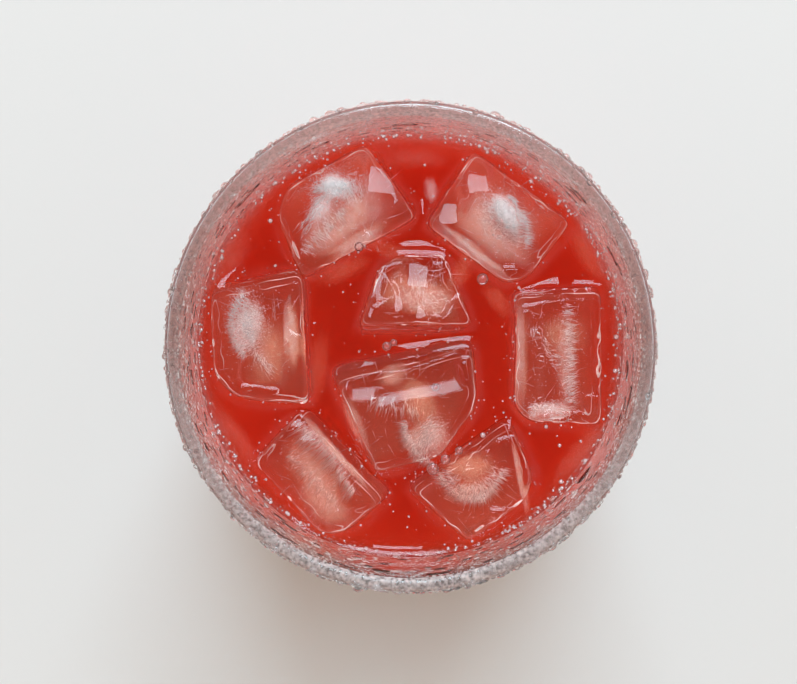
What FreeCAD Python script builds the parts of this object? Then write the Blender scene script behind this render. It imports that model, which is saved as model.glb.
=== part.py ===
import FreeCAD, Part
import math
import os

import Sketcher

# A sea breeze on ice in a straight-sided tumbler. Millimetres, +Z up. The origin is the middle of the
# glass's foot, on the surface that it stands on.

DOCUMENT = FreeCAD.newDocument("sea_breeze")
SHEET = DOCUMENT.addObject("Spreadsheet::Sheet", "Sizes")

# The driving sizes of the glass and of the drink.
SIZES = {
    "rim_radius": 44.0,
    "foot_radius": 38.0,
    "glass_height": 96.0,
    "wall": 2.7,
    "floor_thickness": 12.0,
    "foot_round": 3.0,
    "bowl_round": 9.0,
    "drink_drop": 18.0,
    "meniscus_radius": 2.6,
    "meniscus_reach": 1.9,
    "ice_plan_radius": 40.0,
    "ice_gap": 0.4,
    "ice_draft": 3.5,
    "ice_round": 2.2,
}

# Sizes that follow from the driving ones.
DERIVED = {
    "rim_round": "=wall * 0.46",
    "wall_slope": "=(rim_radius - foot_radius) / glass_height",
    "drink_level": "=glass_height - drink_drop",
    "bore_rim": "=rim_radius - wall",
    "bore_level": "=bore_rim - wall_slope * drink_drop",
    "bore_floor": "=bore_rim - wall_slope * (glass_height - floor_thickness)",
    "flat_radius": "=bore_level - meniscus_reach",
    "meniscus_arm": "=meniscus_radius - meniscus_reach * wall_slope",
    "meniscus_root": "=meniscus_arm ^ 2 - (1 + wall_slope ^ 2) * meniscus_reach ^ 2",
    "meniscus_rise": "=(meniscus_arm - sqrt(meniscus_root)) / (1 + wall_slope ^ 2)",
    "meniscus_top": "=drink_level + meniscus_rise",
    "bore_meniscus": "=bore_level + wall_slope * meniscus_rise",
    "ice_spread": "=bore_level / ice_plan_radius",
}

# The ice: each block's place on a plan of radius ice_plan_radius, its length, width and depth, how much
# shorter its far side is at each end, the cut across its far west corner, how far its top stands out of
# the drink, its turn about +Z, its pitch and roll, the size of its chip, and the top edge that the chip
# has melted away.
ICE_FIELDS = ("x", "y", "length", "width", "depth", "taper", "cut",
              "rise", "turn", "pitch", "roll", "chip")
ICE = {
    "ice_upper_left": ((-12.9, 25.3, 25.0, 17.0, 22.0, 1.8, 3.6, 2.6, 28.0, -3.0, 4.0, 3.6), "east"),
    "ice_upper_right": ((16.3, 23.2, 23.6, 17.0, 23.0, 1.0, 2.4, 2.4, 144.0, -4.0, -3.0, 3.8), "east"),
    "ice_right": ((28.0, -2.2, 26.8, 16.6, 22.0, 1.0, 2.6, 2.2, 90.0, -3.0, 3.0, 2.6), "east"),
    "ice_lower_right": ((12.9, -25.6, 23.8, 15.8, 21.0, 3.4, 3.0, 2.5, 215.0, -4.0, 4.0, 3.0), "south"),
    "ice_lower_left": ((-17.2, -24.6, 23.8, 14.8, 22.0, 1.0, 2.8, 2.3, 134.0, 3.0, -5.0, 3.2), "south"),
    "ice_left": ((-28.5, 1.2, 26.4, 18.2, 22.0, 2.6, 4.0, 2.4, 93.0, -3.0, -3.0, 3.0), "east"),
    "ice_middle_upper": ((1.2, 10.9, 21.6, 14.2, 14.0, 4.8, 2.6, 3.0, 0.0, 6.0, -10.0, 4.0), "north"),
    "ice_middle_lower": ((0.7, -11.5, 28.0, 21.4, 22.0, 3.6, 7.8, 2.7, 194.0, -3.0, -4.0, 4.2), "south"),
}


def fill_sheet():
    """Write every size in a cell of its own, with its name as the alias."""
    cells = dict(SIZES)
    for name, (values, _) in ICE.items():
        cells.update({f"{name}_{field}": value for field, value in zip(ICE_FIELDS, values)})
    cells.update(DERIVED)
    for row, (alias, value) in enumerate(cells.items(), start=1):
        SHEET.set(f"A{row}", alias)
        SHEET.set(f"B{row}", str(value))
        SHEET.setAlias(f"B{row}", alias)
    DOCUMENT.recompute()


def origin_plane(body, role):
    """Give one of a body's own origin planes."""
    return next(item for item in body.Origin.OriginFeatures if item.Role == role)


def new_body(label):
    """Make an empty body with its own label."""
    body = DOCUMENT.addObject("PartDesign::Body", label)
    body.Label = label
    return body


def sheet_value(expression):
    """Work out an expression of the sheet's cells as a plain number."""
    if expression is None:
        return 0.0
    return float(SHEET.evalExpression(expression.replace("Sizes.", "")))


def outline(body, role, corners, arc=None):
    """Draw a closed outline. Each corner is a pair of expressions, and None lies on the axis.

    arc gives the number of the side that is an arc, then its radius and the two places of its middle.
    """
    sketch = body.newObject("Sketcher::SketchObject", f"{body.Name}_outline")
    sketch.AttachmentSupport = [(origin_plane(body, role), "")]
    sketch.MapMode = "FlatFace"
    places = [FreeCAD.Vector(*(sheet_value(value) for value in corner), 0) for corner in corners]
    count = len(corners)
    for side in range(count):
        start, end = places[side], places[(side + 1) % count]
        if arc and arc[0] == side:
            middle = FreeCAD.Vector(sheet_value(arc[2]), sheet_value(arc[3]), 0)
            from_angle = math.atan2(start.y - middle.y, start.x - middle.x)
            to_angle = math.atan2(end.y - middle.y, end.x - middle.x)
            circle = Part.Circle(middle, FreeCAD.Vector(0, 0, 1), sheet_value(arc[1]))
            sketch.addGeometry(Part.ArcOfCircle(circle, from_angle, to_angle), False)
        else:
            sketch.addGeometry(Part.LineSegment(start, end), False)
    for side in range(count):
        sketch.addConstraint(Sketcher.Constraint("Coincident", side, 2, (side + 1) % count, 1))
    for side, corner in enumerate(corners):
        for kind, axis, value in (("DistanceX", -2, corner[0]), ("DistanceY", -1, corner[1])):
            if value is None:
                sketch.addConstraint(Sketcher.Constraint("PointOnObject", side, 1, axis))
                continue
            number = sketch.addConstraint(
                Sketcher.Constraint(kind, -1, 1, side, 1, sheet_value(value)))
            sketch.setExpression(f"Constraints[{number}]", value)
    if arc:
        number = sketch.addConstraint(Sketcher.Constraint("Radius", arc[0], sheet_value(arc[1])))
        sketch.setExpression(f"Constraints[{number}]", arc[1])
    return sketch


def revolve(body, sketch):
    """Turn a sketch once round its own upright axis."""
    feature = body.newObject("PartDesign::Revolution", f"{body.Name}_turned")
    feature.Profile = sketch
    feature.ReferenceAxis = (sketch, ["V_Axis"])
    feature.Angle = 360.0
    DOCUMENT.recompute()
    return feature


def round_edges(body, base, wanted, radius, name):
    """Fillet the edges of a feature that a test picks out, to a radius from the sheet."""
    edges = [f"Edge{number}" for number, edge in enumerate(base.Shape.Edges, start=1) if wanted(edge)]
    feature = body.newObject("PartDesign::Fillet", f"{body.Name}_{name}")
    feature.Base = (base, edges)
    feature.setExpression("Radius", radius)
    DOCUMENT.recompute()
    return feature


def circle_at(height_name, radius_name):
    """Make a test for the round edge at a height and a radius."""
    height = sheet_value(height_name)
    radius = sheet_value(radius_name)

    def wanted(edge):
        box = edge.BoundBox
        flat = box.ZLength < 1e-6 and abs(box.ZMin - height) < 1e-4
        return flat and abs(box.XMax - radius) < 1e-4

    return wanted


def make_glass():
    """The tumbler: a heavy foot, straight flared wall and a rim rounded right over."""
    body = new_body("glass")
    corners = [
        (None, None),
        ("Sizes.foot_radius", None),
        ("Sizes.rim_radius", "Sizes.glass_height"),
        ("Sizes.bore_rim", "Sizes.glass_height"),
        ("Sizes.bore_floor", "Sizes.floor_thickness"),
        (None, "Sizes.floor_thickness"),
    ]
    turned = revolve(body, outline(body, "XZ_Plane", corners))
    bowl = round_edges(body, turned, circle_at("floor_thickness", "bore_floor"), "Sizes.bowl_round", "bowl")
    foot = round_edges(body, bowl, circle_at("0", "foot_radius"), "Sizes.foot_round", "foot")
    lip = circle_at("glass_height", "rim_radius")
    inner_lip = circle_at("glass_height", "bore_rim")
    round_edges(body, foot, lambda edge: lip(edge) or inner_lip(edge), "Sizes.rim_round", "rim")
    return body


def make_pour():
    """The drink before the ice goes in: the bore's own shape, with a ring drawn up the wall."""
    body = new_body("pour")
    corners = [
        (None, "Sizes.floor_thickness"),
        (None, "Sizes.drink_level"),
        ("Sizes.flat_radius", "Sizes.drink_level"),
        ("Sizes.bore_meniscus", "Sizes.meniscus_top"),
        ("Sizes.bore_floor", "Sizes.floor_thickness"),
    ]
    meniscus = (2, "Sizes.meniscus_radius", "Sizes.flat_radius", "Sizes.drink_level + Sizes.meniscus_radius")
    turned = revolve(body, outline(body, "XZ_Plane", corners, arc=meniscus))
    round_edges(body, turned, circle_at("floor_thickness", "bore_floor"), "Sizes.bowl_round", "bowl")
    return body


def chip_edge(base, side):
    """Name the edge of a block's top face on one side of it."""
    axis, sign = {"east": (0, 1), "west": (0, -1), "north": (1, 1), "south": (1, -1)}[side]
    top = max(edge.BoundBox.ZMax for edge in base.Shape.Edges)
    flat = [number for number, edge in enumerate(base.Shape.Edges, start=1)
            if edge.BoundBox.ZMin > top - 1e-6]
    best = max(flat, key=lambda number: sign * base.Shape.Edges[number - 1].CenterOfMass[axis])
    return f"Edge{best}"


def make_block(name, side):
    """One block of ice: it narrows downwards and to its far side, where a corner is cut across. One top
    edge has melted back, every edge is rounded, and the block is turned and tilted as it floats."""
    body = new_body(name)
    cell = f"Sizes.{name}_"
    half_length = f"({cell}length * Sizes.ice_spread - Sizes.ice_gap) / 2"
    half_width = f"({cell}width * Sizes.ice_spread - Sizes.ice_gap) / 2"
    taper = f"{cell}taper * Sizes.ice_spread"
    cut = f"{cell}cut * Sizes.ice_spread"
    corners = [
        (f"-({half_length})", f"-({half_width})"),
        (half_length, f"-({half_width})"),
        (f"{half_length} - {taper}", half_width),
        (f"-({half_length}) + {taper} + {cut}", half_width),
        (f"-({half_length}) + {taper} * (1 - {cut} / (2 * {half_width}))", f"{half_width} - {cut}"),
    ]
    pad = body.newObject("PartDesign::Pad", f"{name}_block")
    pad.Profile = outline(body, "XY_Plane", corners)
    pad.Reversed = True
    pad.setExpression("Length", f"{cell}depth")
    pad.setExpression("TaperAngle", "-Sizes.ice_draft")
    DOCUMENT.recompute()
    chip = body.newObject("PartDesign::Chamfer", f"{name}_chip")
    chip.Base = (pad, [chip_edge(pad, side)])
    chip.setExpression("Size", f"{cell}chip")
    DOCUMENT.recompute()
    round_edges(body, chip, lambda edge: True, "Sizes.ice_round", "melted")
    place = (f"vector({cell}x * Sizes.ice_spread; {cell}y * Sizes.ice_spread; "
             f"Sizes.drink_level + {cell}rise)")
    body.setExpression("Placement", f"placement({place}; rotation({cell}turn; {cell}pitch; {cell}roll))")
    DOCUMENT.recompute()
    return body


def make_drink(pour, blocks):
    """The drink round the ice: the pour with every block's place cut out of it."""
    joined = DOCUMENT.addObject("Part::Compound", "ice_together")
    joined.Links = blocks
    drink = DOCUMENT.addObject("Part::Cut", "drink")
    drink.Label = "drink"
    drink.Base = pour
    drink.Tool = joined
    DOCUMENT.recompute()
    return drink


def check_document(parts):
    """Stop if any object failed, or if a sub-part isn't one sound solid."""
    for item in DOCUMENT.Objects:
        if {"Invalid", "Error"} & set(item.State):
            raise RuntimeError(f"{item.Name} failed: {item.State}")
    for part in parts:
        if part.Shape.isNull() or not part.Shape.isValid() or len(part.Shape.Solids) != 1:
            raise RuntimeError(f"{part.Label} isn't one valid solid")


fill_sheet()
GLASS = make_glass()
POUR = make_pour()
BLOCKS = [make_block(name, side) for name, (_, side) in ICE.items()]
DRINK = make_drink(POUR, BLOCKS)
DOCUMENT.recompute()
PARTS = [GLASS, DRINK] + BLOCKS
check_document(PARTS)
os.makedirs("parts", exist_ok=True)
for part in PARTS:
    part.Shape.exportStep(f"parts/{part.Label}.step")
    print(part.Label, round(part.Shape.Volume / 1000, 2), "cm3")
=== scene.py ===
"""A sea breeze on ice in a misted tumbler, made as surfaces worked out with numpy.

The glass and the drink are surfaces of revolution, each block of ice is a blunted many-sided solid, and
the drops, bubbles and frost are small shapes scattered over them. Lengths are in metres, +Z is up.
"""
import math
from collections import namedtuple

import bpy
import numpy as np
from mathutils import Matrix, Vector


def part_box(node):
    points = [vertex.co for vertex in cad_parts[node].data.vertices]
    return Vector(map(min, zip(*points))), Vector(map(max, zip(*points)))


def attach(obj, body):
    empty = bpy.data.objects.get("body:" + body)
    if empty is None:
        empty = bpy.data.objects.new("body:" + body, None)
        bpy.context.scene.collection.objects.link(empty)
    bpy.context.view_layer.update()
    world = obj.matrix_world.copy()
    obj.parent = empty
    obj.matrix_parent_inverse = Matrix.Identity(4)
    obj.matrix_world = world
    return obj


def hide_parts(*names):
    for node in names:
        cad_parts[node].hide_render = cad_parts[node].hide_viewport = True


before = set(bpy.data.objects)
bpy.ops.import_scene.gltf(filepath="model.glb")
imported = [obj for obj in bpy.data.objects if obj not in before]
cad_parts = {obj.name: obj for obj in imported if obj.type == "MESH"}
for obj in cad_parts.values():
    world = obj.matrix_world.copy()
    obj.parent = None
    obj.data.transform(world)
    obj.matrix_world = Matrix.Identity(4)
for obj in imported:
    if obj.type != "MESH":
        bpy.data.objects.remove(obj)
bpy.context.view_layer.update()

bl_info = {
    "name": "Iced Cocktail",
    "version": (1, 0, 0),
    "blender": (4, 5, 0),
    "location": "3D View > Sidebar > Iced Cocktail",
    "description": "Builds a sea breeze on ice in a misted tumbler",
    "category": "Add Mesh",
}

MM = 0.001

# Refractive indices.
GLASS = 1.5
WATER = 1.33
ICE = 1.31

GLASS_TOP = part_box("glass")[1][2]
DRINK_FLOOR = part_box("drink")[0][2]

Block = namedtuple("Block", "long wide deep taper cut turn pitch roll chip chip_side ramps")
Form = namedtuple("Form", "vertices faces middle planes matrix")

# Each block of ice, as it floats: length, width, depth, taper at the far end, cut across the far west
# corner, turn, pitch and roll in degrees, the chip and the side it is on, all in millimetres, and its
# melted ramps, which catch the window: the way each one falls and its slope, in degrees, how far out from
# the middle it starts, how wide it is, how far to its right its middle lies, and its half length.
BLOCKS = {
    "ice_upper_left": (25.0, 17.0, 22.0, 1.8, 3.6, 28.0, -3.0, 4.0, 0.6, "east",
                       ((82, 9, 1.2, 7.0, 7.8, 4.0), (75, 10, 9.4, 2.0, 6.8, 1.6),
                        (60, 16, -3.0, 1.2, 4.0, 4.0), (95, 18, -6.4, 1.2, 3.0, 3.0))),
    "ice_upper_right": (23.6, 17.0, 23.0, 1.0, 2.4, 144.0, -4.0, -3.0, 0.6, "east",
                        ((92, 9.5, 3.4, 7.6, -3.2, 2.7), (96, 9.5, -1.0, 4.8, -9.0, 2.5),
                         (70, 18, -6.0, 1.0, -2.0, 4.0), (90, 20, -9.8, 1.4, 2.6, 1.8))),
    "ice_right": (26.8, 16.6, 22.0, 1.0, 2.6, 90.0, -3.0, 3.0, 2.6, "east",
                  ((90, 26, 10.4, 1.9, 3.5, 4.6), (91, 26, -11.8, 1.2, 1.0, 4.0),
                   (76, 26, 3.0, 0.9, -4.5, 2.0), (90, 26, -8.4, 1.0, 6.0, 1.6))),
    "ice_lower_right": (23.8, 15.8, 21.0, 3.4, 3.0, 215.0, -4.0, 4.0, 3.0, "south",
                        ((103, 28, 7.0, 2.0, 4.6, 4.4), (85, 28, -4.0, 0.9, 5.0, 3.5),
                         (100, 28, 3.6, 1.0, -3.0, 3.0))),
    "ice_lower_left": (23.8, 14.8, 22.0, 1.0, 2.8, 134.0, 3.0, -5.0, 3.2, "south",
                       ((88, 28, 8.4, 2.6, -4.2, 1.6), (66, 28, 4.5, 1.3, 1.0, 8.0),
                        (92, 28, -7.0, 1.0, 5.0, 3.0))),
    "ice_left": (26.4, 18.2, 22.0, 2.6, 4.0, 93.0, -3.0, -3.0, 3.0, "east",
                 ((91, 26, 8.2, 2.4, -3.6, 5.0), (75, 26, 6.0, 1.2, 2.6, 2.4),
                  (62, 26, 3.0, 1.0, 4.0, 3.0), (85, 26, -9.8, 1.0, 1.0, 4.0))),
    "ice_middle_upper": (21.6, 14.2, 14.0, 4.8, 2.6, 0.0, 6.0, -10.0, 1.4, "north",
                         ((90, 21, 1.0, 5.0, 1.0, 2.0), (60, 23, -1.8, 1.2, 4.6, 2.4),
                          (115, 23, 0.5, 0.8, -5.0, 2.6))),
    "ice_middle_lower": (28.0, 21.4, 22.0, 3.6, 7.8, 194.0, -3.0, -4.0, 4.2, "south",
                         ((102, 26, 0.6, 2.2, 1.8, 8.4), (93, 26, 0.9, 2.6, -7.9, 3.6),
                          (98, 26, 4.8, 2.2, -6.5, 4.0), (80, 26, 6.2, 2.0, 1.0, 2.6))),
}

BLOCKS = {name: Block(*row) for name, row in BLOCKS.items()}

# The mist in each block, and the glows under the drink's surface, as soft patches seen from above: how far
# right and ahead of its middle, half its length and width, its turn, how deep it lies, how thick it is, and
# its share of white. In a block the white sheets are the ice's own cloudiness and the tinted ones are painted
# light, the drink's red light glowing in the ice; the drink's patches are all painted light, paler and more
# orange glows just under its surface.
MISTS_AND_GLOWS = {
    "ice_upper_left": (
        (-2.2, 4.8, 3.6, 2.4, -20, 2.6, 0.95, 1.0), (-4.6, 0.8, 3.6, 1.9, 60, 3.4, 0.5, 1.0),
        (1.4, 2.0, 3.6, 2.0, -50, 4.0, 0.26, 0.6), (-2.5, -3.0, 8.0, 4.2, 42, 5.0, 0.44, 0.2),
        (0.6, 0.2, 10.0, 7.0, 30, 6.4, 0.26, 0.5), (2.2, -5.6, 7.0, 1.3, 30, 3.0, 0.34, 0.5),
    ),
    "ice_upper_right": (
        (1.6, 0.8, 4.6, 2.4, -58, 2.6, 0.95, 1.0), (-0.5, -2.5, 9.0, 5.2, -35, 5.0, 0.48, 0.25),
        (0.4, 0.4, 10.0, 6.6, -38, 6.4, 0.28, 0.5), (-4.4, -6.2, 10.0, 0.9, -37, 3.0, 0.34, 0.5),
    ),
    "ice_right": (
        (1.8, -1.0, 10.0, 2.4, 90, 4.2, 0.26, 0.4), (-6.7, 0.5, 10.0, 0.9, 90, 3.4, 0.22, 0.4),
        (-1.6, -10.2, 4.6, 1.7, 5, 2.4, 0.36, 0.9), (1.0, 4.0, 6.0, 5.0, 0, 6.0, 0.24, 0.0),
    ),
    "ice_lower_right": (
        (-0.3, 2.0, 6.8, 3.6, 8, 4.4, 0.38, 0.05), (0.4, -2.2, 5.6, 2.6, 8, 3.6, 0.3, 0.3),
        (9.4, 0.2, 8.0, 0.7, -78, 3.0, 0.3, 0.4),
    ),
    "ice_lower_left": (
        (-1.0, -0.6, 9.6, 4.4, -52, 4.4, 0.3, 0.2), (2.4, 3.4, 10.4, 1.0, -48, 2.6, 0.4, 0.5),
        (0.5, -6.5, 6.5, 3.4, -40, 5.0, 0.3, 0.2),
    ),
    "ice_left": (
        (-2.3, 2.2, 6.0, 3.4, 82, 3.4, 0.6, 0.8), (6.2, 0.4, 7.8, 1.6, 93, 4.2, 0.44, 0.25),
        (1.5, -3.5, 8.5, 6.0, 92, 6.0, 0.3, 0.0),
    ),
    "ice_middle_upper": (
        (1.4, -1.0, 8.4, 4.8, -8, 3.4, 0.4, 0.25), (-4.0, 1.0, 5.0, 2.6, 60, 4.0, 0.14, 0.1),
    ),
    "ice_middle_lower": (
        (4.2, -6.4, 5.6, 4.2, 20, 3.6, 0.42, 0.4), (2.6, 0.4, 6.0, 4.0, -60, 5.2, 0.36, 0.1),
        (-2.0, 5.4, 3.4, 2.2, 30, 3.6, 0.24, 0.2), (-9.0, -3.6, 6.0, 1.4, -65, 4.0, 0.26, 0.3),
    ),
    # Painted light: paler and more orange glows just under the drink's surface, between the blocks and along
    # the wall.
    "drink": (
        (16.6, 8.6, 5.0, 2.4, -50, 2.0, 0.24, 0.0), (-12.5, 14.6, 7.5, 2.6, 26, 1.6, 0.2, 0.0),
        (4.1, 29.4, 3.2, 1.5, 96, 0.5, 0.42, 0.8), (0.5, 35.6, 9.0, 2.6, 2, 1.4, 0.1, 0.3),
        (-34.0, 16.6, 6.5, 3.2, 62, 1.4, 0.09, 0.3), (32.0, -20.5, 8.5, 2.4, 52, 1.6, 0.14, 0.2),
        (-3.6, 17.8, 7.0, 2.2, -24, 1.8, 0.18, 0.0), (33.0, 17.5, 6.0, 2.0, -58, 1.8, 0.22, 0.1),
        (-17.5, -4.0, 8.0, 2.4, 84, 2.0, 0.18, 0.0), (9.5, 14.0, 5.0, 2.4, 60, 1.8, 0.26, 0.0),
        (-33.0, -18.0, 9.0, 2.4, -56, 1.6, 0.12, 0.2),
    ),
}

# The frost in each block, as strokes seen from above: the two ends of the stroke, across the block from
# its middle, how far the stroke bows to its left, its width, the way its needles point and how far they
# fan, their length, in millimetres and degrees, and how many needles and fine bubbles it has.
CLOUDS = {
    "ice_upper_left": ((-5.4, 4.0, 1.4, 4.6, 0.6, 1.6, 240, 120, 2.0, 520, 3000),
                       (-0.8, 0.8, -8.3, -7.4, 0.0, 1.5, 315, 14, 2.4, 150, 200),
                       (-4.4, 3.0, -7.8, -3.0, 0.0, 1.0, 225, 20, 2.6, 130, 150)),
    "ice_upper_right": ((-0.8, 3.4, 3.6, -3.2, -0.6, 1.8, 340, 60, 2.2, 460, 3200),
                        (1.8, 4.6, 5.0, -5.0, 1.2, 0.5, 338, 40, 2.6, 300, 150)),
    "ice_right": ((1.4, 9.8, 2.0, -9.6, 0.0, 1.0, 8, 36, 2.8, 330, 600),
                  (-4.6, 6.0, -1.0, -2.0, 0.0, 1.4, 320, 120, 2.4, 60, 100),
                  (-5.6, -9.4, 2.4, -11.0, 0.0, 0.9, 90, 200, 1.4, 200, 700)),
    "ice_lower_right": ((-5.6, 0.4, 5.8, 1.8, -4.6, 0.6, 262, 170, 2.6, 620, 300),
                        (-4.4, 0.6, 4.4, 1.6, -3.0, 1.2, 262, 150, 2.4, 380, 500)),
    "ice_lower_left": ((-3.6, 8.6, 6.2, -3.6, 0.6, 0.6, 226, 30, 4.6, 440, 300),
                       (-5.6, 3.6, 2.6, -6.0, 0.0, 1.2, 226, 40, 2.6, 220, 300)),
    "ice_left": ((-2.6, 5.8, -1.6, -1.8, 0.0, 1.7, 180, 60, 2.0, 420, 3400),
                 (-3.0, 7.2, -3.0, -3.4, -2.0, 0.5, 182, 110, 2.2, 420, 200),
                 (-0.5, -3.0, 1.5, -6.0, 0.0, 0.8, 290, 60, 2.6, 80, 120)),
    "ice_middle_upper": ((-1.6, 1.0, 4.4, -2.0, 0.0, 1.6, 300, 120, 2.0, 60, 400),),
    "ice_middle_lower": ((0.4, -3.2, 5.4, -11.0, -1.6, 0.6, 220, 60, 2.6, 440, 200),
                         (6.0, -3.4, 2.6, -8.6, 0.0, 1.5, 236, 50, 3.0, 320, 900),
                         (-6.0, 1.0, 3.0, -1.0, 0.0, 1.4, 262, 40, 3.0, 120, 120)),
}

# Painted highlights round each block, pale lines for the glint along its edges and waterline: how far below
# its top, how far in from its side, and how thick.
EDGE_GLINTS = ((0.9, 0.55, 0.10), (2.0, 0.30, 0.13), (9.0, 0.4, 0.10))

# The lights on the +Y side: name, width and height in metres, elevation in degrees, and how far to +X.
WINDOWS = (("window", 1.235, 0.766, 42, 0.185), ("pane", 0.44, 0.38, 68, 0.08))

# How often light may bounce before Cycles gives it up.
BOUNCES = {"max_bounces": 20, "transmission_bounces": 20, "glossy_bounces": 4, "diffuse_bounces": 2,
           "volume_bounces": 6, "transparent_max_bounces": 48}

# Where a block's planes stand in their list: its sides come first, then these.
TOP, BOTTOM, CHIP = 5, 6, 7

# The rim's round as a share of the wall.
RIM_ROUND = 0.46

# The plan that the blocks are drawn on, how far their sides lean in, and how far inside the plan they
# stand on each side.
PLAN_RADIUS = 40.0
DRAFT = math.radians(3.5)
CLEAR = 0.2 * MM

# The large bubbles: right of and ahead of the glass's axis, and radius, in millimetres.
LARGE_BUBBLES = ((13.7, 12.5, 1.15), (4.3, -23.4, 1.2), (6.7, -21.6, 0.95), (9.3, -19.9, 0.8),
                 (-4.4, -0.2, 0.9), (-3.1, 0.5, 0.7), (4.8, -8.0, 0.75), (-9.6, 18.6, 0.9))


# ---------------------------------------------------------------------------------------------------
# Sizes and colours
# ---------------------------------------------------------------------------------------------------

def length(name, description, default):
    """A size in metres for a property group."""
    return bpy.props.FloatProperty(
        name=name, description=description, default=default, min=0.0, precision=5, unit="LENGTH")


def colour(name, description, default):
    """A colour for a property group."""
    return bpy.props.FloatVectorProperty(
        name=name, description=description, default=default, size=3, min=0.0, max=1.0, subtype="COLOR")


def number(name, description, default):
    """A plain number for a property group."""
    return bpy.props.FloatProperty(name=name, description=description, default=default, min=0.0)


def count(name, description, default):
    """A count for a property group."""
    return bpy.props.IntProperty(name=name, description=description, default=default, min=0)


class GlassSizes(bpy.types.PropertyGroup):
    """The tumbler."""

    rim_radius: length("Rim radius", "From the axis to the outside of the rim", 44.0 * MM)
    foot_radius: length("Foot radius", "From the axis to the outside of the foot", 38.0 * MM)
    height: length("Height", "From the foot to the top of the rim", GLASS_TOP)
    wall: length("Wall", "Thickness of the wall", 2.7 * MM)
    floor: length("Floor", "Height of the inside's bottom", DRINK_FLOOR)
    foot_round: length("Foot round", "Rounding of the foot", 3.0 * MM)
    bowl_round: length("Bowl round", "Rounding of the inside's bottom", 9.0 * MM)
    around: count("Steps around", "Faces round the glass", 320)
    tint: colour("Glass", "Colour of the glass", (0.97, 0.985, 0.98))
    # The outside mist's colour is painted light, the drink's red light seen in it. Its share from -Y to +Y is
    # painted shading: thin on the near wall, which shows red, and thick towards the window, which looks pale.
    mist: colour("Mist", "Colour of the mist on the outside", (0.77, 0.46, 0.42))
    mist_share: number("Mist share", "How much of the outside the mist veils", 0.28)
    mist_thinnest: number("Thinnest mist", "Share of that mist on the side away from the window", 0.0)
    mist_thickest: number("Thickest mist", "Share of that mist on the side towards the window", 2.3)
    # The rim's mist is partly real condensation and partly a painted highlight: the pale silver band where
    # the window shines on the near rim.
    rim_mist_and_sheen: colour("Rim mist", "Colour of the mist on the rim", (0.80, 0.68, 0.68))


class DrinkSizes(bpy.types.PropertyGroup):
    """The drink."""

    level: length("Level", "Height of the drink's surface", 78.0 * MM)
    into_wall: length("Into wall", "How far the drink reaches into the wall", 0.15 * MM)
    wall_rise: length("Rise at wall", "How far the surface climbs the glass", 1.3 * MM)
    wall_reach: length("Reach at wall", "How fast that climb dies away", 1.6 * MM)
    ice_rise: length("Rise at ice", "How far the surface climbs each block", 1.1 * MM)
    ice_reach: length("Reach at ice", "How fast that climb dies away", 1.7 * MM)
    ice_gap: length("Gap at ice", "Thin gap between the drink and each block", 0.05 * MM)
    cut_steps: count("Steps at ice", "Faces along each side of the hollow round a block", 40)
    ripple: length("Ripple", "Height of the surface's slow unevenness", 0.11 * MM)
    scatter: colour("Scattered", "Share of each colour that the cloudy drink scatters", (0.915, 0.085, 0.03))
    density: number("Density", "How often light meets the cloudiness, for each metre", 150.0)


class IceSizes(bpy.types.PropertyGroup):
    """The ice."""

    bluntness: number("Bluntness", "Power that blunts the edges: a high one is sharper", 18.0)
    dents: length("Dents", "Depth of the melted dents", 0.2 * MM)
    haze: number("Haze", "How often light meets the ice's haze, for each metre", 30.0)
    # The haze's red is painted light: the drink's red light glowing in the ice, painted into the haze.
    drink_lit_haze: colour("Haze colour", "Share of each colour that the haze scatters", (1.0, 0.15, 0.09))
    steps: count("Steps", "Faces along each side of a block", 64)
    threads: count("Threads", "Long fine threads in each block", 44)
    mist_layers: count("Mist layers", "Sheets in each patch of mist", 4)
    peach: colour("Tinted mist", "Colour of mist with the drink's light in it", (0.97, 0.43, 0.27))
    # The near frost colour is painted light, the drink's red light in the frost on the -Y side; the far frost
    # colour is whiter, as on the side towards the window.
    frost: colour("Frost", "Colour of the far needles and fine bubbles", (1.0, 0.97, 0.97))
    frost_in_drink_light: colour("Near frost", "Colour of the near needles and fine bubbles", (1.0, 0.66, 0.58))
    # Colour of the painted highlights along the blocks' edges.
    edge: colour("Edge lines", "Colour of the pale lines along the edges", (1.0, 0.66, 0.58))


class DropSizes(bpy.types.PropertyGroup):
    """The drops and bubbles."""

    rim_drops: count("Rim drops", "Drops near the rim", 4200)
    wall_drops: count("Wall drops", "Drops lower on the outside", 4600)
    large_drops: count("Large drops", "Grown drops on the outside", 1500)
    rim_beads: count("Rim beads", "Grown drops on the rim's outer edge", 620)
    inner_drops: count("Inner drops", "Drops on the inside above the drink", 300)
    edge_bubbles: count("Edge bubbles", "Bubbles in the ring where the drink meets the glass", 420)
    fine_bubbles: count("Fine bubbles", "Bubbles against the ice and at the surface", 700)
    seed: count("Seed", "Start of the scattering", 7)


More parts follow.
